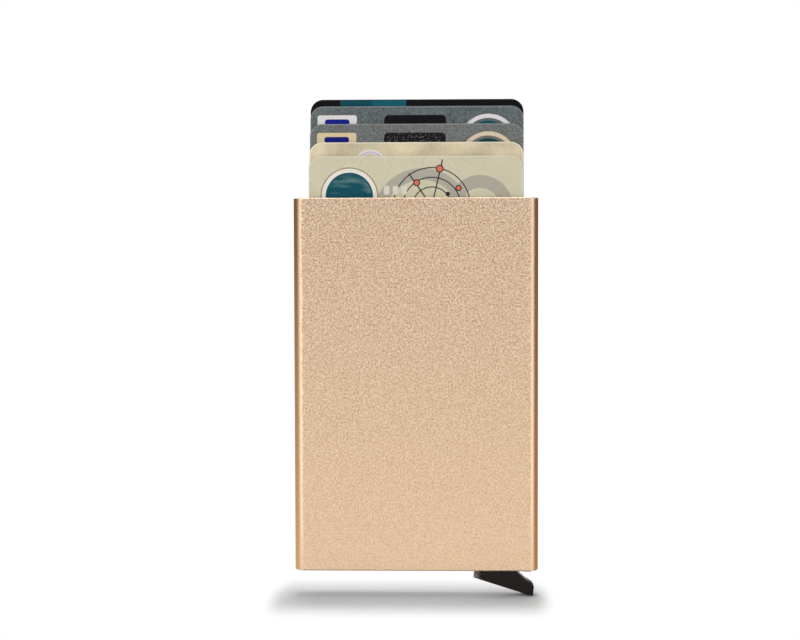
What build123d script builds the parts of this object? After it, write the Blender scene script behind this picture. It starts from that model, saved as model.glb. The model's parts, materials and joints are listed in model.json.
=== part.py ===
from build123d import *
import math
import os

# A pop up card holder in millimetres: an aluminium case, five cards and a sprung lever that fans them out.
# X runs to the right as the front is seen, Y away from the viewer and Z up.
# The origin is under the middle of the case, level with the lowest point of the trigger.

# Cards to the common identity card size, standing on a short edge
card_width = 53.98
card_length = 85.6
card_thickness = 0.76
card_corner = 3.18
card_gap = 0.24

# How far each card stands out of the case, front to back, and how far it has slipped sideways
front_cream_rise = 10.5
rear_cream_rise = 14.0
front_grey_rise = 18.7
rear_grey_rise = 23.2
black_rise = 25.0
front_cream_shift = 0.04
rear_cream_shift = 0.15
front_grey_shift = 0.21
rear_grey_shift = 0.27
black_shift = 0.26

# Contact plates let into the bank cards
chip_width = 10.8
chip_height = 12.6
chip_thickness = 0.3
chip_corner = 1.4
chip_from_end = 15.06
chip_from_side = 23.89

# Case, an extruded tube open at both ends
case_wall = 1.0
case_corner = 3.0
end_edge_radius = 0.35
mouth_edge_radius = 0.2
mouth_margin = 1.5
depth_play = 0.62

# Side rails and their felt strips
rail_thickness = 2.41
rail_fit = 0.05
card_play = 0.45
rail_recess = 0.8
rail_lead_in = 0.4
felt_thickness = 0.6
felt_proud = 0.1
felt_width = 4.9
felt_corner = 0.2
felt_end_margin = 4.0
felt_fit = 0.05

# Base plug
seat_height = 7.1
seat_gap = 0.2
plug_floor = 1.0
trough_end_wall = 3.45
cheek_thickness = 0.6
boss_radius = 2.6
boss_depth = 0.5
rib_width = 1.2
rib_gap = 0.1
rib_count = 3
foot_width = 1.8
foot_inset = 0.65
foot_height = 0.3

# Ejector lever and its trigger
press_angle = 35.0
lever_play = 0.15
push_gap = 0.25
pivot_height = 4.0
pivot_inset = 4.4
hub_radius = 3.0
hub_side_play = 0.1
arm_top = 3.0
arm_depth = 2.4
arm_tip_radius = 0.6
trigger_drop = 6.6
trigger_length = 15.45
trigger_inset = 1.0
trigger_height_inside = 0.9
sole_angle = 17.5
toe_lean = 5.0
toe_radius = 0.35
heel_radius = 0.5
heel_slant = 0.75
neck_foot = 3.6
trigger_edge_radius = 0.25
ramp_radius = 0.4
slot_play = 0.3

# Pin and return spring
pin_radius = 0.75
pin_fit = 0.01
bearing_play = 0.04
sleeve_radius = 1.2
recess_play = 0.1
wire_radius = 0.18
coil_radius = 1.62
coil_pitch = 0.42
coil_turns = 3
coil_side_play = 0.12
lever_leg = 8.5
fixed_leg = 6.2
leg_play = 0.08

# How far a cut runs past what it cuts
overrun = 1.0

# Places of the trigger's ramp, as shares of its length from the heel and of its drop
ramp_start_shares = (0.688, 0.0)
ramp_knee_shares = (0.85, 0.35)
ramp_end_shares = (0.965, 0.51)
ramp_foot_shares = (1.0, 0.64)

# The cards from front to back: name, rise, shift and whether it is a bank card with a chip
cards = [
    ("front_cream", front_cream_rise, front_cream_shift, True),
    ("rear_cream", rear_cream_rise, rear_cream_shift, True),
    ("front_grey", front_grey_rise, front_grey_shift, True),
    ("rear_grey", rear_grey_rise, rear_grey_shift, True),
    ("black", black_rise, black_shift, False),
]

# Sizes that follow from these
card_count = len(cards)
card_pitch = card_thickness + card_gap
stack_depth = card_count * card_thickness + (card_count - 1) * card_gap
inner_width = card_width + 2 * (card_play + rail_thickness + rail_fit)
inner_depth = stack_depth + 2 * depth_play
inner_corner = case_corner - case_wall
case_width = inner_width + 2 * case_wall
case_thickness = inner_depth + 2 * case_wall
seated_height = seat_height + seat_gap
case_height = seated_height + card_length + mouth_margin
case_bottom = trigger_drop
case_top = case_bottom + case_height
pivot_z = case_bottom + pivot_height
trough_half = inner_width / 2 - rail_fit - trough_end_wall
pivot_x = trough_half - pivot_inset
plug_half_depth = inner_depth / 2 - rail_fit
trough_half_depth = plug_half_depth - cheek_thickness
lever_half = trough_half_depth - lever_play
hub_half = trough_half_depth - boss_depth - hub_side_play
recess_radius = hub_radius + recess_play
trigger_right = case_width / 2 - trigger_inset
heel_x = trigger_right - trigger_length
rail_face = card_width / 2 + card_play
press_turn = math.radians(press_angle)
sole_turn = math.radians(sole_angle)
toe_turn = math.radians(toe_lean)

os.makedirs("parts", exist_ok=True)


def upright(y):
    """The plane that faces the viewer at depth y: its sketches read as X and Z, and extrudes come forward."""
    return Plane.XZ.offset(-y)


def card_centre_y(place):
    """Depth of the middle of a card, counted from 0 at the front."""
    return (place - (card_count - 1) / 2) * card_pitch


def save(piece, name):
    piece.label = name
    export_step(piece, f"parts/{name}.step")


# Case
with BuildPart() as case:
    with BuildSketch(Plane.XY.offset(case_bottom)):
        RectangleRounded(case_width, case_thickness, case_corner)
        RectangleRounded(inner_width, inner_depth, inner_corner, mode=Mode.SUBTRACT)
    extrude(amount=case_height)
    ends = case.faces().filter_by(Plane.XY)
    fillet([edge for end in ends for edge in end.outer_wire().edges()], end_edge_radius)
    rims = case.faces().filter_by(Plane.XY)
    fillet([edge for rim in rims for wire in rim.inner_wires() for edge in wire.edges()], mouth_edge_radius)
save(case.part, "case")


# Base plug: floor, end blocks with card shoulders, cheeks, bosses for the pin, ribs and the trigger's slot
plug_end_height = seat_height + card_corner + card_play
toe_slope = (math.sin(sole_turn) + math.cos(toe_turn)) / math.cos(sole_turn - toe_turn)
toe_z = -(trigger_drop - toe_radius) - toe_radius * toe_slope
toe_x = trigger_right + (toe_z + ramp_foot_shares[1] * trigger_drop) * math.tan(toe_turn)
heel_z = toe_z + (toe_x - heel_x) * math.tan(sole_turn)
heel_reach = math.hypot(pivot_x - heel_x, pivot_height - heel_z)
slot_left = pivot_x - heel_reach - slot_play
leg_z = pivot_z + coil_radius
fixed_leg_y = trough_half_depth - boss_depth - coil_side_play - wire_radius
lever_leg_y = fixed_leg_y - coil_turns * coil_pitch
arm_bottom_z = pivot_z + arm_top - arm_depth
with BuildPart() as base_plug:
    with BuildSketch(Plane.XY.offset(case_bottom)):
        RectangleRounded(inner_width - 2 * rail_fit, 2 * plug_half_depth, inner_corner - rail_fit)
    extrude(amount=plug_end_height)
    with BuildSketch(upright(inner_depth)):
        with Locations((0, case_bottom + seat_height + card_length / 2 + card_play)):
            RectangleRounded(
                card_width + 2 * card_play, card_length + 2 * card_play, card_corner + card_play
            )
    extrude(amount=2 * inner_depth, mode=Mode.SUBTRACT)
    with BuildSketch(Plane.XY.offset(case_bottom + plug_floor)):
        Rectangle(2 * trough_half, 2 * trough_half_depth)
    extrude(amount=case_height, mode=Mode.SUBTRACT)
    with BuildSketch(Plane.XY.offset(case_bottom)):
        with Locations(((slot_left + trough_half) / 2, 0)):
            Rectangle(trough_half - slot_left, 2 * trough_half_depth)
    extrude(amount=plug_floor, mode=Mode.SUBTRACT)
    with BuildSketch(upright(trough_half_depth)):
        with Locations((pivot_x, pivot_z)):
            Circle(boss_radius)
    extrude(amount=boss_depth)
    with BuildSketch(upright(-trough_half_depth)):
        with Locations((pivot_x, pivot_z)):
            Circle(boss_radius)
    extrude(amount=-boss_depth)
    with BuildSketch(upright(plug_half_depth + overrun)):
        with Locations((pivot_x, pivot_z)):
            Circle(pin_radius + pin_fit)
    extrude(amount=2 * (plug_half_depth + overrun), mode=Mode.SUBTRACT)
    rib_span = slot_left + trough_half
    with BuildSketch(Plane.XY.offset(case_bottom + plug_floor)):
        for place in range(rib_count):
            with Locations((-trough_half + rib_span * (place + 1) / (rib_count + 1), 0)):
                Rectangle(rib_width, 2 * trough_half_depth)
    extrude(amount=arm_bottom_z - rib_gap - case_bottom - plug_floor)
    with BuildSketch(upright(fixed_leg_y + wire_radius + leg_play)):
        with Locations((trough_half, leg_z)):
            Rectangle(
                2 * (pivot_x + fixed_leg + leg_play - trough_half), 2 * (wire_radius + leg_play)
            )
    extrude(amount=2 * (wire_radius + leg_play), mode=Mode.SUBTRACT)
    with BuildSketch(Plane.XY.offset(case_bottom)):
        with Locations((inner_width / 2 - foot_inset - foot_width / 2, 0)):
            Rectangle(foot_width, 2 * trough_half_depth)
    extrude(amount=-foot_height)
save(base_plug.part, "base_plug")


# Side rails, each with a groove for its felt, and the felt strips
rail_bottom = case_bottom + plug_end_height
rail_top = case_top - rail_recess
felt_bottom = rail_bottom + felt_end_margin
felt_top = rail_top - felt_end_margin
groove_depth = felt_thickness - felt_proud
for side, side_name in ((-1, "left"), (1, "right")):
    with BuildPart() as rail:
        with BuildSketch(Plane.XY.offset(rail_bottom)):
            RectangleRounded(inner_width - 2 * rail_fit, 2 * plug_half_depth, inner_corner - rail_fit)
            with Locations((side * (rail_face + inner_width / 2), 0)):
                Rectangle(inner_width, inner_depth, mode=Mode.INTERSECT)
        extrude(amount=rail_top - rail_bottom)
        mouth = rail.faces().sort_by(Axis.Z)[-1]
        inner_edge = mouth.edges().filter_by(Axis.Y).sort_by(Axis.X)[-1 if side < 0 else 0]
        chamfer(inner_edge, rail_lead_in)
        with BuildSketch(Plane.XY.offset(felt_bottom - felt_fit)):
            with Locations((side * rail_face, 0)):
                Rectangle(2 * groove_depth, felt_width + 2 * felt_fit)
        extrude(amount=felt_top - felt_bottom + 2 * felt_fit, mode=Mode.SUBTRACT)
    save(rail.part, f"{side_name}_rail")

    with BuildPart() as felt:
        with BuildSketch(Plane.XY.offset(felt_bottom)):
            with Locations((side * (rail_face + groove_depth - felt_thickness / 2), 0)):
                Rectangle(felt_thickness, felt_width)
        extrude(amount=felt_top - felt_bottom)
        fillet(felt.edges().filter_by(Axis.Z), felt_corner)
    save(felt.part, f"{side_name}_felt")


# Ejector lever: hub, trigger and one arm step for each card, longest at the back
def trigger_point(shares):
    along, down = shares
    return (heel_x + along * trigger_length, case_bottom - down * trigger_drop)


def arm_length(rise):
    """Length at which the turned arm's rounded tip stops push_gap short of a card that has this rise."""
    travel = rise + mouth_margin
    lift = travel + seated_height - pivot_height - push_gap - arm_tip_radius
    return arm_tip_radius + (lift - (arm_top - arm_tip_radius) * math.cos(press_turn)) / math.sin(press_turn)


spring_side = lever_leg_y - wire_radius - coil_side_play
with BuildPart() as ejector_lever:
    with BuildSketch(upright(lever_half)) as lever_side:
        with BuildLine():
            Polyline(
                (heel_x + heel_slant, case_bottom + trigger_height_inside),
                (heel_x, case_bottom + heel_z),
                (toe_x, case_bottom + toe_z),
                trigger_point(ramp_foot_shares),
                trigger_point(ramp_end_shares),
                trigger_point(ramp_knee_shares),
                trigger_point(ramp_start_shares),
                (pivot_x + hub_radius, pivot_z),
                (pivot_x - hub_radius, pivot_z),
                (pivot_x - neck_foot, case_bottom + trigger_height_inside),
                close=True,
            )
        make_face()
        fillet(lever_side.vertices().sort_by(Axis.Y)[0], toe_radius)
        fillet(lever_side.vertices().sort_by(Axis.X)[0], heel_radius)
        ramp_foot = trigger_point(ramp_foot_shares)
        ramp_end = trigger_point(ramp_end_shares)
        ramp_corners = [
            lever_side.vertices().sort_by_distance((*corner, 0))[0] for corner in (ramp_foot, ramp_end)
        ]
        fillet(ramp_corners, ramp_radius)
        with Locations((pivot_x, pivot_z)):
            Circle(hub_radius)
    extrude(amount=2 * lever_half)
    trigger_sides = ejector_lever.faces().filter_by(Plane.XZ)
    side_edges = [edge for side_face in trigger_sides for edge in side_face.outer_wire().edges()]
    fillet([edge for edge in side_edges if edge.center().Z < case_bottom], trigger_edge_radius)
    for place, (card_name, rise, shift, has_chip) in enumerate(cards):
        step_front = max(card_centre_y(place) - card_pitch / 2, -lever_half)
        step_back = min(card_centre_y(place) + card_pitch / 2, lever_half)
        length = arm_length(rise)
        with BuildSketch(upright(step_back)) as step_side:
            with Locations((pivot_x - length / 2, pivot_z + arm_top - arm_depth / 2)):
                Rectangle(length, arm_depth)
            fillet(step_side.vertices().sort_by(Axis.X)[:2], arm_tip_radius)
        extrude(amount=step_back - step_front)
    for front, back in ((-lever_half - overrun, -hub_half), (spring_side, lever_half + overrun)):
        with BuildSketch(upright(back)):
            with Locations((pivot_x - recess_radius, pivot_z - recess_radius)):
                Rectangle(
                    recess_radius + 2 * hub_radius, 2 * recess_radius, align=(Align.MIN, Align.MIN)
                )
            with Locations((pivot_x - neck_foot - recess_play, pivot_z - recess_radius)):
                Rectangle(
                    neck_foot, arm_bottom_z - pivot_z + recess_radius, align=(Align.MIN, Align.MIN)
                )
        extrude(amount=back - front, mode=Mode.SUBTRACT)
    with BuildSketch(upright(hub_half)):
        with Locations((pivot_x, pivot_z)):
            Circle(sleeve_radius)
    extrude(amount=hub_half - spring_side)
    with BuildSketch(upright(lever_half + overrun)):
        with Locations((pivot_x, pivot_z)):
            Circle(pin_radius + bearing_play)
    extrude(amount=2 * (lever_half + overrun), mode=Mode.SUBTRACT)
    groove_floor = pivot_z + coil_radius - wire_radius - leg_play
    with BuildSketch(upright(lever_leg_y + wire_radius + leg_play)):
        with Locations((pivot_x - lever_leg / 2, groove_floor + arm_top / 2)):
            Rectangle(lever_leg + 2 * leg_play, arm_top)
    extrude(amount=2 * (wire_radius + leg_play), mode=Mode.SUBTRACT)
save(ejector_lever.part, "ejector_lever")


# Pivot pin, held in the plug's cheeks
with BuildPart() as pivot_pin:
    with BuildSketch(upright(plug_half_depth)):
        with Locations((pivot_x, pivot_z)):
            Circle(pin_radius)
    extrude(amount=2 * plug_half_depth)
save(pivot_pin.part, "pivot_pin")


# Return spring: a torsion coil round the hub's sleeve, one leg in the arm's groove, one in the end block
with BuildPart() as return_spring:
    with BuildLine() as spring_wire:
        coil = Helix(
            coil_pitch,
            coil_turns * coil_pitch,
            coil_radius,
            center=(pivot_x, lever_leg_y, pivot_z),
            direction=(0, 1, 0),
        )
        Line((pivot_x - lever_leg, lever_leg_y, leg_z), coil @ 0)
        Line(coil @ 1, (pivot_x + fixed_leg, fixed_leg_y, leg_z))
    with BuildSketch(Plane(origin=spring_wire.wire() @ 0, z_dir=spring_wire.wire() % 0)):
        Circle(wire_radius)
    sweep(path=spring_wire.wire())
save(return_spring.part, "return_spring")


# Cards, standing at the heights where they have been left, and the contact plates of the bank cards
for place, (card_name, rise, shift, has_chip) in enumerate(cards):
    card_bottom = case_top + rise - card_length
    face_y = card_centre_y(place) - card_thickness / 2
    chip_place = (shift - card_width / 2 + chip_from_side, card_bottom + chip_from_end)
    with BuildPart() as card:
        with BuildSketch(upright(face_y + card_thickness)):
            with Locations((shift, card_bottom + card_length / 2)):
                RectangleRounded(card_width, card_length, card_corner)
        extrude(amount=card_thickness)
        if has_chip:
            with BuildSketch(upright(face_y + chip_thickness)):
                with Locations(chip_place):
                    RectangleRounded(chip_width, chip_height, chip_corner)
            extrude(amount=chip_thickness, mode=Mode.SUBTRACT)
    save(card.part, f"{card_name}_card")

    if has_chip:
        with BuildPart() as chip:
            with BuildSketch(upright(face_y + chip_thickness)):
                with Locations(chip_place):
                    RectangleRounded(chip_width, chip_height, chip_corner)
            extrude(amount=chip_thickness)
        save(chip.part, f"{card_name}_chip")
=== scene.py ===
import json
import math

import bpy
from mathutils import Matrix, Vector


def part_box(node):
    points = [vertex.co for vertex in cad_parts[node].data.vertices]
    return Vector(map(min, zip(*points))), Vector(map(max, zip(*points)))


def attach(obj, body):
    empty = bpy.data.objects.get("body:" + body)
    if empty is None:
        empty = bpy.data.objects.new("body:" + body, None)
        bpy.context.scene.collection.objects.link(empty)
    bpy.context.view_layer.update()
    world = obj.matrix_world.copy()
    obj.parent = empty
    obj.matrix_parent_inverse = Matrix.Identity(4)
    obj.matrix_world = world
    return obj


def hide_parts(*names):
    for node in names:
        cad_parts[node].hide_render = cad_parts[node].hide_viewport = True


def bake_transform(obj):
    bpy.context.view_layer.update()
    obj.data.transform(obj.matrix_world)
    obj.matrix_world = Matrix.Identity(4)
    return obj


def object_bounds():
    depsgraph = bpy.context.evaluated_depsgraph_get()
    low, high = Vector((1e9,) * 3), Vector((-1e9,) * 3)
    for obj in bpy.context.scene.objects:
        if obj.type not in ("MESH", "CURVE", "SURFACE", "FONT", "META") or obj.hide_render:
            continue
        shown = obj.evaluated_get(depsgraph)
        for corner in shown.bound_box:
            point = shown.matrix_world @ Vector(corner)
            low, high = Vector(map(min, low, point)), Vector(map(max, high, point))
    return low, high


# The looks of a pop up card holder, in metres: finishes, felt and spring, floor, light and camera
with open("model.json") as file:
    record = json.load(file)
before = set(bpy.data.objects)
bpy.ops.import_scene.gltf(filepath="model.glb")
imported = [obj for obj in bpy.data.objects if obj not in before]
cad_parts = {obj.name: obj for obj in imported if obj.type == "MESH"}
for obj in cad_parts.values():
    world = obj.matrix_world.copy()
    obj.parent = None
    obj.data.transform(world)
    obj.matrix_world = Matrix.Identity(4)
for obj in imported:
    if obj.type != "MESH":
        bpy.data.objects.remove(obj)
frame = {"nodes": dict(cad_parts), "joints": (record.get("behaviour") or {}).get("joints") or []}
cad_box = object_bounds()
nodes = frame["nodes"]
millimetre = 0.001


def ink(red, green, blue):
    """A colour given as it shows on a screen, 0 to 255, as the linear colour that shaders take."""
    shares = [channel / 255 for channel in (red, green, blue)]
    linear = [share / 12.92 if share <= 0.04045 else ((share + 0.055) / 1.055) ** 2.4 for share in shares]
    return (*linear, 1.0)


# Camera, fitted to the edges of the case and of the cards in the photograph
image_width_px = 800
image_height_px = 640
case_centre_px = 416.14
eye_level_px = 358.66
focal_length_px = 1772.0
sensor_width = 36.0
camera_distance = 450 * millimetre
camera_height = 82 * millimetre
camera_pitch = math.radians(2.76)
camera_roll = math.radians(-0.11)
camera_turn = math.radians(1.9)
nearest_seen = 10 * millimetre

# Floor. The case throws warm light on the floor ahead of it, so the floor is cooler there
floor_size = 6.0
floor_grey = 0.8
seen_floor_colour = (0.765, 0.785, 0.8, 1.0)
warmed_floor_colour = (0.735, 0.785, 0.835, 1.0)
warmed_fade_ahead = 4 * millimetre
warmed_fade_aside = 10 * millimetre

# Where the shadow shows on the floor before it fades into the white backdrop
shadow_centre = (-1.6 * millimetre, -4.5 * millimetre)
shadow_half_width = 30.6 * millimetre
shadow_end_squeeze = 4.7
shadow_reach = 5 * millimetre
shadow_end = 30 * millimetre

# Light: levels are those of a white wall; a place is an azimuth, an elevation and a distance
ambient_level = 0.3
backdrop_level = 1.0
white = (1.0, 1.0, 1.0, 1.0)
# Soft lights: name, place, width and height, level
studio_lights = (
    ("front_light", (0, 10, 0.9), (1.0, 0.6), 1.75),
    ("back_light", (180, 32, 0.9), (1.0, 0.6), 1.75),
    ("left_light", (-48, 12, 0.6), (0.4, 0.6), 0.8),
    ("right_light", (56, 12, 0.6), (0.26, 0.6), 0.8),
    ("top_front_light", (0, 83, 0.6), (0.12, 0.3), 3.2),
    ("top_back_light", (180, 79, 0.6), (0.12, 0.3), 8.0),
)
# Pale boards, which show in reflections alone: name, place, width and height, level
pale_boards = (
    ("left_pale_board", (-55, 0, 0.125), (0.026, 0.3), 2.15),
    ("right_pale_board", (65, 0, 0.125), (0.024, 0.3), 1.9),
    ("top_pale_board", (0, 88, 0.4), (0.4, 0.3), 3.6),
)
# Dark boards, which show in reflections alone: name, X and Y of both upright edges, low and high colour
side_board_height = 103 * millimetre
side_boards = (
    (
        "left_dark_board", (-30.5 * millimetre, 9 * millimetre), (-36 * millimetre, -5 * millimetre),
        ink(228, 212, 186), ink(142, 112, 70),
    ),
    (
        "right_dark_board", (30.5 * millimetre, 8 * millimetre), (36 * millimetre, -4.1 * millimetre),
        ink(190, 161, 127), ink(136, 104, 70),
    ),
)


# Shader maths
class Signal:
    """A value in a shader tree. Used in an expression, it adds the Math nodes for it."""

    def __init__(self, finish, socket):
        self.finish = finish
        self.socket = socket

    def __add__(self, other):
        return self.finish.maths("ADD", self, other)

    def __sub__(self, other):
        return self.finish.maths("SUBTRACT", self, other)

    def __rsub__(self, other):
        return self.finish.maths("SUBTRACT", other, self)

    def __mul__(self, other):
        return self.finish.maths("MULTIPLY", self, other)

    def __truediv__(self, other):
        return self.finish.maths("DIVIDE", self, other)

    def __pow__(self, other):
        return self.finish.maths("POWER", self, other)

    def __gt__(self, other):
        return self.finish.maths("GREATER_THAN", self, other)

    def __lt__(self, other):
        return self.finish.maths("LESS_THAN", self, other)

    def __abs__(self):
        return self.finish.maths("ABSOLUTE", self)


class Finish:
    """A node tree: a new material's, or the one that is given."""

    def __init__(self, name, tree=None):
        if tree is None:
            self.material = bpy.data.materials.new(name)
            self.material.use_nodes = True
            tree = self.material.node_tree
        self.tree = tree
        self.tree.nodes.clear()

    def add(self, kind, settings=None, values=None, output=None):
        """Adds a node: settings, then sockets by identifier. Gives the named or else the first output."""
        node = self.tree.nodes.new(kind)
        for name, setting in (settings or {}).items():
            setattr(node, name, setting)
        sockets = {socket.identifier: socket for socket in node.inputs}
        for name, value in (values or {}).items():
            if isinstance(value, Signal):
                self.tree.links.new(value.socket, sockets[name])
            else:
                sockets[name].default_value = value
        outputs = {socket.identifier: socket for socket in node.outputs}
        first = node.outputs[0] if node.outputs else None
        return Signal(self, outputs.get(output, first))

    def maths(self, operation, *values):
        sockets = ("Value", "Value_001", "Value_002")
        return self.add("ShaderNodeMath", {"operation": operation}, dict(zip(sockets, values)))

    def least(self, first, second):
        return self.maths("MINIMUM", first, second)

    def most(self, first, second):
        return self.maths("MAXIMUM", first, second)

    def clamped(self, value):
        return self.add("ShaderNodeClamp", values={"Value": value})

    def eased(self, value):
        """Goes from 0 to 1 as the value does, with a soft start and a soft end."""
        share = self.clamped(value)
        return share * share * (3.0 - share * 2.0)

    def swing(self, noise, strength):
        """Noise about 0 instead of about a half, times its strength."""
        return (noise - 0.5) * strength

    def mixed(self, factor, first, second):
        """Colour that goes from first to second as factor goes from 0 to 1."""
        settings = {"data_type": "RGBA", "clamp_factor": True}
        values = {"Factor_Float": factor, "A_Color": first, "B_Color": second}
        return self.add("ShaderNodeMix", settings, values, "Result_Color")

    def tinted(self, colour, variation, channel_shares=(1.0, 1.0, 1.0)):
        """Colour made lighter where variation is above 0, darker below, each channel by its share."""
        channels = zip(("Red", "Green", "Blue"), channel_shares)
        factors = {channel: variation * share + 1.0 for channel, share in channels}
        tint = self.add("ShaderNodeCombineColor", values=factors)
        settings = {"data_type": "RGBA", "blend_type": "MULTIPLY"}
        values = {"Factor_Float": 1.0, "A_Color": colour, "B_Color": tint}
        return self.add("ShaderNodeMix", settings, values, "Result_Color")

    def point(self):
        """The point on the piece, in Object coordinates."""
        return self.add("ShaderNodeTexCoord", output="Object")

    def axes(self, point):
        """X, Y and Z of a point."""
        split = self.add("ShaderNodeSeparateXYZ", values={"Vector": point})
        return [Signal(self, socket) for socket in split.socket.node.outputs]

    def stretched(self, point, x_scale=1.0, y_scale=1.0, z_scale=1.0):
        scale = (x_scale, y_scale, z_scale)
        return self.add("ShaderNodeMapping", values={"Vector": point, "Scale": scale})

    def noise(self, point, size, detail, roughness):
        values = {"Vector": point, "Scale": 1 / size, "Detail": detail, "Roughness": roughness}
        return self.add("ShaderNodeTexNoise", values=values)

    def relief(self, height, depth, strength):
        values = {"Height": height, "Distance": depth, "Strength": strength}
        return self.add("ShaderNodeBump", values=values)

    def surface(self, **values):
        """Ends the material with a Principled surface. Names are written with _ for a space."""
        sockets = {name.replace("_", " "): value for name, value in values.items()}
        shader = self.add("ShaderNodeBsdfPrincipled", values=sockets)
        self.add("ShaderNodeOutputMaterial", values={"Surface": shader})
        return self.material


# Shapes of the prints: each gives the distance to its outline, below 0 inside it
def disc(finish, across, down, centre_shares, radius_share):
    off_centre = (across - centre_shares[0]) ** 2 + (down - centre_shares[1]) ** 2
    return finish.maths("SQRT", off_centre) - radius_share


def ring(finish, across, down, centre_shares, radius_share, half_width_share):
    return abs(disc(finish, across, down, centre_shares, radius_share)) - half_width_share


def panel(finish, across, down, centre_shares, half_size_shares, corner_share):
    beyond_x = abs(across - centre_shares[0]) - (half_size_shares[0] - corner_share)
    beyond_y = abs(down - centre_shares[1]) - (half_size_shares[1] - corner_share)
    outside = finish.maths("SQRT", finish.most(beyond_x, 0.0) ** 2 + finish.most(beyond_y, 0.0) ** 2)
    inside = finish.least(finish.most(beyond_x, beyond_y), 0.0)
    return outside + inside - corner_share


def stroke(finish, across, down, start_shares, end_shares, half_width_share):
    run = Vector(end_shares) - Vector(start_shares)
    from_x = across - start_shares[0]
    from_y = down - start_shares[1]
    along = finish.clamped((from_x * run.x + from_y * run.y) / run.length_squared)
    off_x = from_x - along * run.x
    off_y = from_y - along * run.y
    return finish.maths("SQRT", off_x ** 2 + off_y ** 2) - half_width_share


# Anodised, bead blasted aluminium of the case, polished by hands at its sides and worn at its ends; the
# pale colour at its ends is partly wear and partly a painted highlight along the rim
blast_grain = 0.45 * millimetre
blast_patch = 1.1 * millimetre
blast_depth = 0.012 * millimetre
# The grain's contrast grows from foot to mouth: painted play of light on the grain
blast_contrast_at_foot = 0.936
blast_contrast_at_mouth = 2.86
blast_patch_contrast = 0.16
blast_channel_shares = (0.76, 1.1, 1.29)
# Lighter at the foot and darker at the mouth: painted light and painted shade
lit_foot_colour = ink(228, 196, 163)
shaded_mouth_colour = ink(208, 181, 155)
handled_width = 2.3 * millimetre
handled_fade = 0.6 * millimetre
handled_smoothness = 0.85
# Rubbed ends: pale patches, partly wear and partly a painted highlight along the rim
rubbed_width = 0.45 * millimetre
rubbed_smoothness = 0.7
rubbed_start_share = 0.4
rubbed_sharpness = 5.0
rubbed_highlight_strength = 0.42
rubbed_highlight_colour = ink(250, 236, 216)


def anodised_aluminium():
    finish = Finish("anodised_aluminium")
    point = finish.point()
    x, _, z = finish.axes(point)
    low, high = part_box("case")
    grain = finish.noise(point, blast_grain, detail=3.0, roughness=0.62)
    patches = finish.noise(point, blast_patch, detail=2.0, roughness=0.5)
    handled = finish.clamped((handled_width - (high.x - abs(x))) / handled_fade)
    at_end = finish.clamped(1.0 - finish.least(z - low.z, high.z - z) / rubbed_width)
    rubbed_highlight = at_end * finish.clamped((patches - rubbed_start_share) * rubbed_sharpness)
    texture = 1.0 - finish.most(handled * handled_smoothness, at_end * rubbed_smoothness)
    mouth_share = finish.clamped((z - low.z) / (high.z - low.z))
    contrast = mouth_share * (blast_contrast_at_mouth - blast_contrast_at_foot) + blast_contrast_at_foot
    speckle = finish.swing(grain, contrast * texture) + finish.swing(patches, blast_patch_contrast)
    # Painted light at the foot, painted shade towards the mouth
    tone = finish.mixed(mouth_share, lit_foot_colour, shaded_mouth_colour)
    # Pale patches at the ends: partly wear, partly a painted highlight
    tone = finish.mixed(rubbed_highlight * rubbed_highlight_strength, tone, rubbed_highlight_colour)
    return finish.surface(
        Base_Color=finish.tinted(tone, speckle, blast_channel_shares),
        Metallic=1.0,
        Roughness=finish.clamped(grain * 0.14 + 0.23),
        Normal=finish.relief(grain * texture, blast_depth, strength=0.55),
    )


# Moulded plastics of the plug, the rails and the lever
mould_grain = 0.22 * millimetre
mould_flow = 3.96 * millimetre
mould_depth = 0.01 * millimetre
# A painted highlight on the lever's rounded heel, in pale specks: its grain, reach, contrast, cover and
# colour
heel_highlight_grain = 0.26 * millimetre
heel_highlight_reach = 2.0 * millimetre
heel_highlight_contrast = 9.0
heel_highlight_cover = 0.65
heel_highlight_colour = ink(200, 182, 177)


def moulded_plastic(name, colour, gloss, roughness, highlight_x=None):
    """Dark, fine grained plastic, with a speckled painted highlight on both sides of an X where that is
    given.
    """
    finish = Finish(name)
    point = finish.point()
    grain = finish.noise(point, mould_grain, detail=3.0, roughness=0.6)
    flow = finish.noise(finish.stretched(point, z_scale=0.3), mould_flow, detail=2.0, roughness=0.5)
    tone = finish.tinted(colour, finish.swing(grain, 0.9) + finish.swing(flow, 0.3))
    # A speckled painted highlight about that X, where the rounded heel would catch the light
    if highlight_x is not None:
        highlight_nearness = finish.clamped(1.0 - abs(finish.axes(point)[0] - highlight_x) / heel_highlight_reach)
        highlight_specks = finish.noise(point, heel_highlight_grain, detail=3.0, roughness=0.65)
        highlight_cover = finish.clamped(finish.swing(highlight_specks, heel_highlight_contrast) + heel_highlight_cover)
        tone = finish.mixed(highlight_cover * highlight_nearness, tone, heel_highlight_colour)
    return finish.surface(
        Base_Color=tone,
        Roughness=finish.clamped(finish.swing(grain, 0.3) + finish.swing(flow, 0.15) + roughness),
        Specular_IOR_Level=gloss,
        Normal=finish.relief(grain, mould_depth, strength=0.7),
    )


# Drawn spring wire and the ground pin
drawn_line = 0.05 * millimetre
drawn_depth = 0.005 * millimetre


def drawn_steel(name, colour, roughness):
    finish = Finish(name)
    long_point = finish.stretched(finish.point(), y_scale=0.12)
    lines = finish.noise(long_point, drawn_line, detail=2.0, roughness=0.6)
    return finish.surface(
        Base_Color=finish.tinted(colour, finish.swing(lines, 0.35)),
        Metallic=1.0,
        Roughness=finish.clamped(finish.swing(lines, 0.3) + roughness),
        Normal=finish.relief(lines, drawn_depth, strength=0.5),
    )


# Felt of the side strips
fibre_grain = 0.12 * millimetre
fibre_clump = 1.08 * millimetre
fibre_depth = 0.05 * millimetre


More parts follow.
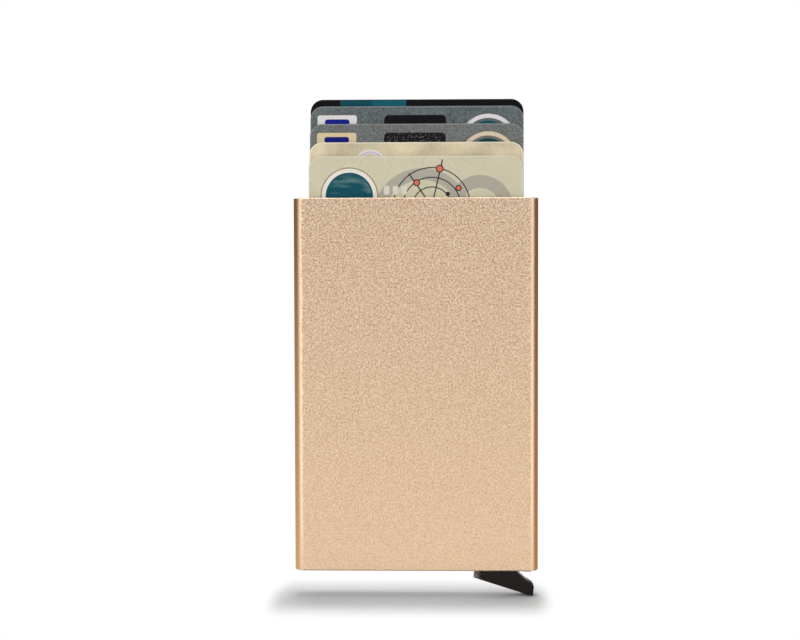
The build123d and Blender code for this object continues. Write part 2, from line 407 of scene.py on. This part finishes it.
def felt_cloth():
    finish = Finish("felt")
    point = finish.point()
    fibres = finish.noise(point, fibre_grain, detail=4.0, roughness=0.7)
    clumps = finish.noise(point, fibre_clump, detail=2.0, roughness=0.5)
    colour = finish.mixed(fibres, ink(30, 31, 34), ink(92, 93, 97))
    return finish.surface(
        Base_Color=finish.tinted(colour, finish.swing(clumps, 0.6)),
        Roughness=0.95,
        Sheen_Weight=0.35,
        Sheen_Roughness=0.4,
        Normal=finish.relief(fibres, fibre_depth, strength=0.9),
    )


# Gold contacts of the bank cards: rows are shares of a chip's length, other sizes shares of its width
contact_pad_half_shares = (0.17, 0.30)
contact_pad_corner_share = 0.08
contact_groove_share = 0.018
contact_row_shares = (-0.2, 0.2)
contact_scratch = 0.15 * millimetre
contact_depth = 0.06 * millimetre


def chip_contacts(node):
    finish = Finish(f"{node}_contacts")
    point = finish.point()
    x, _, z = finish.axes(point)
    low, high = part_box(node)
    middle = (low + high) / 2
    width = high.x - low.x
    length_share = (high.z - low.z) / width
    across = (x - middle.x) / width
    down = (middle.z - z) / width
    half_width_share, half_height_share = contact_pad_half_shares
    pad = panel(finish, across, down, (0.0, 0.0), contact_pad_half_shares, contact_pad_corner_share)
    groove = abs(pad)
    for row_share in contact_row_shares:
        off_row = abs(down - row_share * length_share)
        groove = finish.least(groove, off_row + (abs(across) < half_width_share))
    groove = finish.least(groove, abs(across) + (abs(down) < half_height_share))
    cut = finish.clamped(1.0 - groove / contact_groove_share)
    long_point = finish.stretched(point, z_scale=0.08)
    scratches = finish.noise(long_point, contact_scratch, detail=2.0, roughness=0.6)
    colour = finish.mixed(cut, ink(228, 196, 124), ink(120, 92, 44))
    return finish.surface(
        Base_Color=finish.tinted(colour, finish.swing(scratches, 0.25)),
        Metallic=1.0,
        Roughness=finish.clamped(finish.swing(scratches, 0.25) + cut * 0.2 + 0.26),
        Normal=finish.relief(1.0 - cut, contact_depth, strength=0.8),
    )


# Cards: places and sizes of the prints are shares of the card's width, from the middle of its top edge
pale_print = ink(238, 234, 222)
teal = ink(16, 80, 94)
grey_layout_shares = (
    ("panel", (-0.374, 0.135), (0.0924, 0.094), 0.012, "label"),
    ("panel", (-0.374, 0.074), (0.058, 0.014), 0.013, "navy"),
    ("panel", (-0.374, 0.121), (0.058, 0.014), 0.013, "navy"),
    ("panel", (-0.008, 0.152), (0.145, 0.111), 0.022, "panel"),
    ("disc", (0.335, 0.175), 0.138, "frame"),
    ("disc", (0.335, 0.175), 0.119, "paper"),
    ("disc", (0.335, 0.175), 0.106, "heart"),
)
prints_shares = {
    "front_cream_card": (
        ("ring", (0.30, 0.245), 0.125, 0.030, "shade"),
        ("ring", (0.03, 0.290), 0.205, 0.027, "shade"),
        ("disc", (-0.310, 0.188), 0.135, "brown"),
        ("disc", (-0.310, 0.188), 0.130, "frame"),
        ("disc", (-0.310, 0.188), 0.111, "heart"),
        # A painted sheen on the teal disc, in streaks
        ("disc", (-0.310, 0.188), 0.103, "gleam"),
        ("ring", (0.075, 0.235), 0.090, 0.0026, "dark"),
        ("ring", (0.075, 0.235), 0.135, 0.0026, "dark"),
        ("ring", (0.075, 0.235), 0.180, 0.0026, "dark"),
        ("stroke", (0.075, 0.235), (0.125, 0.020), 0.0030, "dark"),
        ("stroke", (0.075, 0.235), (-0.030, 0.085), 0.0030, "dark"),
        ("disc", (0.112, 0.060), 0.0185, "dark"),
        ("disc", (0.112, 0.060), 0.0135, "coral"),
        ("disc", (0.005, 0.125), 0.0165, "dark"),
        ("disc", (0.005, 0.125), 0.0115, "coral"),
        ("disc", (0.200, 0.150), 0.0145, "dark"),
        ("disc", (0.200, 0.150), 0.0095, "coral"),
        ("disc", (0.150, 0.177), 0.0105, "dark"),
        ("panel", (-0.135, 0.160), (0.013, 0.021), 0.006, "raised"),
        ("panel", (-0.094, 0.160), (0.013, 0.021), 0.006, "raised"),
        ("panel", (-0.053, 0.160), (0.013, 0.021), 0.006, "raised"),
    ),
    "rear_cream_card": (
        ("ring", (-0.215, 0.112), 0.068, 0.010, "frame"),
        ("ring", (-0.215, 0.112), 0.066, 0.005, "lilac"),
        ("ring", (0.22, 0.30), 0.150, 0.030, "shade"),
    ),
    "front_grey_card": grey_layout_shares,
    "rear_grey_card": grey_layout_shares,
    "black_card": (
        ("panel", (-0.205, 0.50), (0.155, 0.62), 0.001, "teal"),
        ("panel", (-0.130, 0.50), (0.080, 0.62), 0.001, "light teal"),
    ),
}
cream_inks = {
    "shade": ink(180, 174, 160), "brown": ink(150, 128, 100), "frame": pale_print, "heart": teal,
    "gleam": ink(140, 172, 166), "dark": ink(42, 42, 56), "coral": ink(222, 116, 88),
    "raised": ink(224, 221, 204), "lilac": ink(206, 192, 222),
}
card_inks = {
    "front_cream_card": cream_inks,
    "rear_cream_card": cream_inks,
    "front_grey_card": {
        "label": ink(224, 204, 164), "navy": ink(22, 28, 118), "panel": ink(20, 20, 22),
        "frame": ink(222, 206, 176), "paper": ink(113, 116, 114), "heart": ink(20, 66, 58),
    },
    "rear_grey_card": {
        "label": ink(228, 224, 222), "navy": ink(20, 32, 138), "panel": ink(16, 16, 19),
        "frame": ink(228, 222, 224), "paper": ink(98, 106, 108), "heart": teal,
    },
    "black_card": {"teal": ink(13, 74, 88), "light teal": ink(20, 92, 108)},
}
# Papers: colours of the paper, of its rim (a painted highlight along the card's edge) and of its core,
# contrasts of its specks and of its clouds
pale_core = ink(222, 220, 210)
dark_core = ink(30, 30, 32)
papers = {
    "front_cream_card": (ink(213, 207, 179), ink(234, 230, 210), pale_core, 0.16, 0.14),
    "rear_cream_card": (ink(213, 199, 168), ink(255, 250, 232), pale_core, 0.4, 1.1),
    "front_grey_card": (ink(115, 118, 116), ink(158, 161, 156), pale_core, 2.2, 0.4),
    "rear_grey_card": (ink(98, 106, 108), ink(150, 156, 158), pale_core, 2.0, 0.6),
    "black_card": (ink(13, 13, 16), ink(40, 40, 44), dark_core, 0.8, 0.2),
}
shapes = {"disc": disc, "ring": ring, "panel": panel, "stroke": stroke}
card_corner = 3.18 * millimetre
card_speck = 0.45 * millimetre
card_cloud = 7.2 * millimetre
card_streak = 4.05 * millimetre
card_relief = 0.024 * millimetre
card_face_depth = 0.02 * millimetre
speck_strength = 0.3
pad_strength = 4.0
rim_highlight_width = 0.4 * millimetre
rim_highlight_strength = 0.7
print_edge = 0.12 * millimetre
print_speck = 0.16
gleam_contrast = 3.0
worn_panel_card = "front_grey_card"
wear_start_share = 0.38
wear_sharpness = 22.0

# Back of a card: a dark stripe and a pale field, ruled at a rate in radians over the card's width
stripe_place_share = -0.335
stripe_half_width_share = 0.118
stripe_colour = ink(34, 27, 26)
field_place_shares = (0.06, 0.80)
field_half_size_shares = (0.085, 0.52)
field_corner_share = 0.004
field_colour = ink(232, 230, 222)
ruling_colour = ink(170, 176, 178)
ruling_strength = 0.25
ruling_rate = 150.0


def card_width(node):
    low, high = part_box(node)
    return high.x - low.x


def printed(finish, node, distance):
    """1 inside a print's outline, 0 outside it, with a soft edge."""
    return finish.clamped(0.5 - distance / (print_edge / card_width(node)))


def card_rim_highlight(finish, node, across, down):
    """Where the painted highlight along the card's edge shows: 1 at the card's outline, 0 at the rim's
    inner edge.
    """
    low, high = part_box(node)
    half_length_share = (high.z - low.z) / card_width(node) / 2
    half_size_shares = (0.5, half_length_share)
    corner_share = card_corner / card_width(node)
    outline = panel(finish, across, down, (0.0, half_length_share), half_size_shares, corner_share)
    return finish.clamped(outline * (card_width(node) / rim_highlight_width) + 1.0)


def card_front(finish, node, across, down, paper, grain, gleam):
    """The printed front of a card, and where its raised pads are."""
    inks = card_inks[node]
    wear = finish.clamped((grain - wear_start_share) * wear_sharpness)
    front = paper
    raised = None
    for kind, *sizes, name in prints_shares[node]:
        mask = printed(finish, node, shapes[kind](finish, across, down, *sizes))
        if name == "raised":
            raised = mask if raised is None else finish.most(raised, mask)
        if name == "gleam":
            mask = mask * gleam
        if name == "panel" and node == worn_panel_card:
            mask = mask * wear
        front = finish.mixed(mask, front, inks[name])
    return front, raised


def card_back(finish, node, across, down, paper):
    stripe = abs(across - stripe_place_share) - stripe_half_width_share
    back = finish.mixed(printed(finish, node, stripe), paper, stripe_colour)
    field = panel(finish, across, down, field_place_shares, field_half_size_shares, field_corner_share)
    ruling = abs(finish.maths("SINE", (across + down) * ruling_rate))
    ruled = finish.mixed(ruling * ruling_strength, field_colour, ruling_colour)
    return finish.mixed(printed(finish, node, field), back, ruled)


def card_finish(node):
    paper_colour, rim_highlight_colour, core_colour, speck_contrast, cloud_contrast = papers[node]
    finish = Finish(node)
    point = finish.point()
    x, y, z = finish.axes(point)
    low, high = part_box(node)
    across = (x - (low.x + high.x) / 2) / card_width(node)
    down = (high.z - z) / card_width(node)
    specks = finish.noise(point, card_speck, detail=3.0, roughness=0.6)
    clouds = finish.noise(point, card_cloud, detail=3.0, roughness=0.5)
    long_point = finish.stretched(point, x_scale=0.3, z_scale=1.4)
    streaks = finish.noise(long_point, card_streak, detail=2.0, roughness=0.5)
    # Streaks of a painted sheen on the teal disc
    gleam = finish.clamped(finish.swing(streaks, gleam_contrast))
    shade = finish.swing(specks, speck_contrast) + finish.swing(clouds, cloud_contrast)
    paper = finish.tinted(paper_colour, shade)
    front, raised = card_front(finish, node, across, down, paper, specks, gleam)
    # A painted highlight along the card's edge, where the edge would catch the light
    front = finish.mixed(card_rim_highlight(finish, node, across, down) * rim_highlight_strength, front, rim_highlight_colour)
    back = card_back(finish, node, across, down, paper)
    at_front = y < low.y + card_face_depth
    at_back = y > high.y - card_face_depth
    colour = finish.mixed(at_front, finish.mixed(at_back, core_colour, back), front)
    height = specks * speck_strength
    if raised is not None:
        height = height + raised * at_front * pad_strength
    return finish.surface(
        Base_Color=finish.tinted(colour, finish.swing(specks, print_speck)),
        Roughness=finish.clamped(finish.swing(specks, 0.2) + 0.42),
        Specular_IOR_Level=0.06,
        Normal=finish.relief(height, card_relief, strength=0.6),
    )


# Finishes of the solids that stay
plug_colour = ink(36, 35, 36)
lever_colour = ink(30, 22, 21)
pin_colour = ink(196, 196, 198)
wire_colour = ink(190, 188, 184)
trigger_heel_x = 14.45 * millimetre


def dress(node, material):
    """Gives a solid its finish."""
    slots = nodes[node].data.materials
    slots.clear()
    slots.append(material)


dress("case", anodised_aluminium())
plug_plastic = moulded_plastic("plug_plastic", plug_colour, gloss=0.25, roughness=0.5)
for node in ("base_plug", "left_rail", "right_rail"):
    dress(node, plug_plastic)
lever_plastic = moulded_plastic(
    "lever_plastic", lever_colour, gloss=0.16, roughness=0.4, highlight_x=trigger_heel_x,
)
dress("ejector_lever", lever_plastic)
dress("pivot_pin", drawn_steel("pin_steel", pin_colour, roughness=0.3))
for node in prints_shares:
    dress(node, card_finish(node))
for node in nodes:
    if node.endswith("_chip"):
        dress(node, chip_contacts(node))


# Mesh helpers
def new_piece(name, vertices, faces, material):
    mesh = bpy.data.meshes.new(name)
    mesh.from_pydata(vertices, [], faces)
    mesh.validate()
    piece = bpy.data.objects.new(name, mesh)
    bpy.context.scene.collection.objects.link(piece)
    mesh.materials.append(material)
    return piece


def baked(piece, name):
    """The piece as its modifiers leave it, as a plain mesh, in its place."""
    view = bpy.context.evaluated_depsgraph_get()
    mesh = bpy.data.meshes.new_from_object(piece.evaluated_get(view), depsgraph=view)
    material = piece.data.materials[0]
    bpy.data.objects.remove(piece)
    mesh.name = name
    mesh.materials.clear()
    mesh.materials.append(material)
    result = bpy.data.objects.new(name, mesh)
    bpy.context.scene.collection.objects.link(result)
    return result


# Felt strips: a crowned strip with fibres that stand out of it
felt_rows = 90
felt_outline_steps = 24
felt_side_roundness = 0.45
felt_face_roundness = 0.25
felt_end_share = 0.82
felt_taper_rate = 6
felt_swell = 0.05 * millimetre
swell_rate_by_row = 1.7
swell_rate_by_step = 2.3
slow_swell_rate_by_row = 0.61
felt_fibres = 1600
felt_fibre_length = 0.22 * millimetre
felt_fibre_radius = 0.012 * millimetre
fibre_sides = 3
fibre_lean = (1.1, 1.1, 3.1)
fibre_seed = 7
fibre_lean_seed = 3


def fibre_tree(material):
    """Geometry Nodes that grow short fibres on a mesh: their count, length and radius are inputs."""
    tree = bpy.data.node_groups.new("felt_fibres", "GeometryNodeTree")
    tree.interface.new_socket("Strip", in_out="INPUT", socket_type="NodeSocketGeometry")
    for name in ("Count", "Length", "Radius"):
        tree.interface.new_socket(name, in_out="INPUT", socket_type="NodeSocketFloat")
    tree.interface.new_socket("Felt", in_out="OUTPUT", socket_type="NodeSocketGeometry")

    def add(kind, settings=None, **links):
        node = tree.nodes.new(kind)
        for name, setting in (settings or {}).items():
            setattr(node, name, setting)
        for name, source in links.items():
            target = node.inputs[name.replace("_", " ")]
            if isinstance(source, bpy.types.NodeSocket):
                tree.links.new(source, target)
            else:
                target.default_value = source
        return node

    inputs = add("NodeGroupInput")
    points = add(
        "GeometryNodeDistributePointsOnFaces",
        Mesh=inputs.outputs["Strip"], Density=inputs.outputs["Count"], Seed=fibre_seed,
    )
    fibre = add(
        "GeometryNodeMeshCone", {"fill_type": "NONE"}, Vertices=fibre_sides,
        Radius_Top=0.0, Radius_Bottom=inputs.outputs["Radius"], Depth=inputs.outputs["Length"],
    )
    lean = add(
        "FunctionNodeRandomValue", {"data_type": "FLOAT_VECTOR"},
        Min=tuple(-angle for angle in fibre_lean), Max=fibre_lean, Seed=fibre_lean_seed,
    )
    turn = add(
        "FunctionNodeRotateRotation", {"rotation_space": "LOCAL"},
        Rotation=points.outputs["Rotation"], Rotate_By=lean.outputs["Value"],
    )
    planted = add(
        "GeometryNodeInstanceOnPoints", Points=points.outputs["Points"],
        Instance=fibre.outputs["Mesh"], Rotation=turn.outputs["Rotation"],
    )
    joined = add("GeometryNodeJoinGeometry", Geometry=inputs.outputs["Strip"])
    tree.links.new(planted.outputs["Instances"], joined.inputs["Geometry"])
    solid = add("GeometryNodeRealizeInstances", Geometry=joined.outputs["Geometry"])
    finished = add("GeometryNodeSetMaterial", Geometry=solid.outputs["Geometry"], Material=material)
    add("NodeGroupOutput", Felt=finished.outputs["Geometry"])
    return tree


def rounded(value, exponent):
    """A sine or cosine drawn out towards 1 or -1, which makes a circle of them squarer."""
    return math.copysign(abs(value) ** exponent, value)


def crowned_strip(low, high):
    """Points and faces of a rounded strip, thinner at its ends and uneven on its open side."""
    middle = (low + high) / 2
    half = (high - low) / 2
    side = 1 if middle.x > 0 else -1
    vertices = []
    for row in range(felt_rows + 1):
        run_share = row / felt_rows
        taper = min(1.0, felt_taper_rate * min(run_share, 1 - run_share) + felt_end_share)
        for step in range(felt_outline_steps):
            angle = 2 * math.pi * step / felt_outline_steps
            x_unit = rounded(math.cos(angle), felt_side_roundness)
            y_unit = rounded(math.sin(angle), felt_face_roundness)
            quick_swell = math.sin(row * swell_rate_by_row + step * swell_rate_by_step)
            slow_swell = math.sin(row * slow_swell_rate_by_row + step)
            wobble = felt_swell * quick_swell * slow_swell
            open_side = x_unit * side < 0
            vertices.append((
                middle.x + x_unit * half.x - side * wobble * open_side,
                middle.y + y_unit * half.y * taper,
                low.z + 2 * half.z * run_share,
            ))
    faces = []
    for row in range(felt_rows):
        for step in range(felt_outline_steps):
            following = (step + 1) % felt_outline_steps
            first = row * felt_outline_steps
            second = first + felt_outline_steps
            faces.append((first + step, first + following, second + following, second + step))
    outline = range(felt_outline_steps)
    faces.append(tuple(reversed(outline)))
    faces.append(tuple(felt_rows * felt_outline_steps + step for step in outline))
    return vertices, faces


def felt_strip(node, tree, material):
    vertices, faces = crowned_strip(*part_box(node))
    strip = new_piece(f"{node}_strip", vertices, faces, material)
    growth = strip.modifiers.new("fibres", "NODES")
    growth.node_group = tree
    area = sum(polygon.area for polygon in strip.data.polygons)
    sizes = {"Count": felt_fibres / area, "Length": felt_fibre_length, "Radius": felt_fibre_radius}
    for item in tree.interface.items_tree:
        if item.name in sizes:
            growth[item.identifier] = sizes[item.name]
    piece = baked(strip, f"{node}_strip")
    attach(piece, "holder")
    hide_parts(node)


felt = felt_cloth()
fibres = fibre_tree(felt)
for node in ("left_felt", "right_felt"):
    felt_strip(node, fibres, felt)


# Return spring: its coil winds up between the leg in the plug and the leg in the lever
spring_turns = 3
spring_steps_per_turn = 64
spring_wire_share = 0.05
spring_wire_roundness = 3


def spring_route(low, high, pivot, wire_radius):
    """The middle of the wire: the lever's leg, the coil round the pin, and the leg in the plug."""
    coil_radius = (high.z - low.z) / 2 - wire_radius
    lever_leg_y = low.y + wire_radius
    fixed_leg_y = high.y - wire_radius
    leg_z = pivot.z + coil_radius
    route = [Vector((low.x, lever_leg_y, leg_z))]
    steps = spring_turns * spring_steps_per_turn
    for step in range(steps + 1):
        turn = 2 * math.pi * step / spring_steps_per_turn
        depth = lever_leg_y + (fixed_leg_y - lever_leg_y) * step / steps
        off_x = coil_radius * math.sin(turn)
        off_z = coil_radius * math.cos(turn)
        route.append(Vector((pivot.x + off_x, depth, pivot.z + off_z)))
    route.append(Vector((high.x, fixed_leg_y, leg_z)))
    return route


def return_spring():
    low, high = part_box("return_spring")
    pivot = Vector(frame["joints"][0]["pos_m"])
    wire_radius = (high.z - low.z) * spring_wire_share
    route = spring_route(low, high, pivot, wire_radius)
    curve = bpy.data.curves.new("return_spring_wire", "CURVE")
    curve.dimensions = "3D"
    curve.bevel_depth = wire_radius
    curve.bevel_resolution = spring_wire_roundness
    curve.use_fill_caps = True
    line = curve.splines.new("POLY")
    line.points.add(len(route) - 1)
    for point, place in zip(line.points, route):
        point.co = (*place, 1.0)
    wire = bpy.data.objects.new("return_spring_wire", curve)
    bpy.context.scene.collection.objects.link(wire)
    curve.materials.append(drawn_steel("spring_steel", wire_colour, roughness=0.28))
    piece = baked(wire, "return_spring_wire")
    for polygon in piece.data.polygons:
        polygon.use_smooth = True
    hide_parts("return_spring")
    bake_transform(piece)


return_spring()


# Floor, and the world behind it, which is white where it is seen and dimmer as light
def background_rays(finish):
    """1 for the rays that see the background: camera, glossy and transmission rays."""
    path = finish.add("ShaderNodeLightPath")
    seen = {socket.name: Signal(finish, socket) for socket in path.socket.node.outputs}
    return finish.clamped(seen["Is Camera Ray"] + seen["Is Glossy Ray"] + seen["Is Transmission Ray"])


def pale_floor():
    """Pale grey, a little cooler where it is seen, and away from the object one with the backdrop."""
    finish = Finish("pale_floor")
    x, y, _ = finish.axes(finish.point())
    low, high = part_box("case")
    seen = background_rays(finish)
    ahead = finish.clamped((low.y - y) / warmed_fade_ahead)
    abreast = finish.clamped((high.x - abs(x)) / warmed_fade_aside)
    seen_colour = finish.mixed(ahead * abreast, seen_floor_colour, warmed_floor_colour)
    pale = finish.add("ShaderNodeBsdfDiffuse", values={"Color": seen_colour})
    grey = finish.add("ShaderNodeBsdfDiffuse", values={"Color": (floor_grey, floor_grey, floor_grey, 1.0)})
    glow = finish.add("ShaderNodeEmission", values={"Strength": backdrop_level})
    matt = finish.add("ShaderNodeMixShader", values={"Fac": seen, "Shader": grey, "Shader_001": pale})
    past_end = finish.most(abs(x - shadow_centre[0]) - shadow_half_width, 0.0) * shadow_end_squeeze
    from_shadow = finish.maths("SQRT", past_end ** 2 + (y - shadow_centre[1]) ** 2)
    away = finish.eased((from_shadow - shadow_reach) / (shadow_end - shadow_reach))
    blend = {"Fac": away * seen, "Shader": matt, "Shader_001": glow}
    both = finish.add("ShaderNodeMixShader", values=blend)
    finish.add("ShaderNodeOutputMaterial", values={"Surface": both})
    return finish.material


def flat_sheet(name, width, height, material):
    across = width / 2
    up = height / 2
    corners = [(-across, -up, 0), (across, -up, 0), (across, up, 0), (-across, up, 0)]
    return new_piece(name, corners, [(0, 1, 2, 3)], material)


flat_sheet("floor", floor_size, floor_size, pale_floor())

world = bpy.data.worlds.new("studio")
bpy.context.scene.world = world
world.use_nodes = True
sky = Finish("studio", world.node_tree)
sky_level = background_rays(sky) * (backdrop_level - ambient_level) + ambient_level
backdrop = sky.add("ShaderNodeBackground", values={"Color": white, "Strength": sky_level})
sky.add("ShaderNodeOutputWorld", values={"Surface": backdrop})


# Studio lights and reflection boards
look_at = (Vector(cad_box[0]) + Vector(cad_box[1])) / 2


def from_direction(azimuth, elevation, distance):
    """A point that far from the object; azimuth 0 is in front of it, 90 to its right."""
    turn = math.radians(azimuth)
    rise = math.radians(elevation)
    flat = math.cos(rise)
    return look_at + distance * Vector((math.sin(turn) * flat, -math.cos(turn) * flat, math.sin(rise)))


def facing_object(thing):
    thing.rotation_euler = (look_at - thing.location).to_track_quat("-Z", "Y").to_euler()


def softbox(name, place, size, level):
    """A soft light whose face is as bright as level times a white wall. It isn't seen in reflections."""
    lamp = bpy.data.lights.new(name, "AREA")
    lamp.shape = "RECTANGLE"
    lamp.size, lamp.size_y = size
    lamp.energy = level * math.pi * lamp.size * lamp.size_y
    light = bpy.data.objects.new(name, lamp)
    bpy.context.scene.collection.objects.link(light)
    light.location = from_direction(*place)
    facing_object(light)
    light.visible_camera = False
    light.visible_glossy = False


def glowing(name, level):
    finish = Finish(name)
    glow = finish.add("ShaderNodeEmission", values={"Color": white, "Strength": level})
    finish.add("ShaderNodeOutputMaterial", values={"Surface": glow})
    return finish.material


def fading_glow(name, low_colour, high_colour):
    """Goes from one colour at the floor to the other at the top of a side board."""
    finish = Finish(name)
    height = finish.axes(finish.point())[2]
    colour = finish.mixed(finish.clamped(height / side_board_height), low_colour, high_colour)
    glow = finish.add("ShaderNodeEmission", values={"Color": colour})
    finish.add("ShaderNodeOutputMaterial", values={"Surface": glow})
    return finish.material


def seen_in_reflections_alone(board):
    board.visible_camera = False
    board.visible_diffuse = False
    board.visible_shadow = False
    board.visible_transmission = False


def pale_reflection(name, place, size, level):
    board = flat_sheet(name, *size, glowing(name, level))
    board.location = from_direction(*place)
    facing_object(board)
    seen_in_reflections_alone(board)


def dark_reflection(name, back_edge, front_edge, low_colour, high_colour):
    corners = [(*edge, height) for height in (0.0, side_board_height) for edge in (back_edge, front_edge)]
    board = new_piece(name, corners, [(0, 1, 3, 2)], fading_glow(name, low_colour, high_colour))
    seen_in_reflections_alone(board)


for light in studio_lights:
    softbox(*light)
for board in pale_boards:
    pale_reflection(*board)
for board in side_boards:
    dark_reflection(*board)

# Camera
lens = bpy.data.cameras.new("camera")
lens.sensor_width = sensor_width
lens.lens = sensor_width * focal_length_px / image_width_px
lens.shift_x = (image_width_px / 2 - case_centre_px) / image_width_px
lens.shift_y = (eye_level_px - image_height_px / 2) / image_width_px
lens.clip_start = nearest_seen
lens.clip_end = 2 * floor_size
camera = bpy.data.objects.new("camera", lens)
bpy.context.scene.collection.objects.link(camera)
level_view = Matrix.Rotation(math.pi / 2 - camera_pitch, 4, "X")
camera.matrix_world = (
    Matrix.Rotation(camera_turn, 4, "Z")
    @ Matrix.Translation((0, -camera_distance, camera_height))
    @ level_view
    @ Matrix.Rotation(camera_roll, 4, "Z")
)
bpy.context.scene.camera = camera
bpy.context.scene.view_settings.view_transform = "Standard"
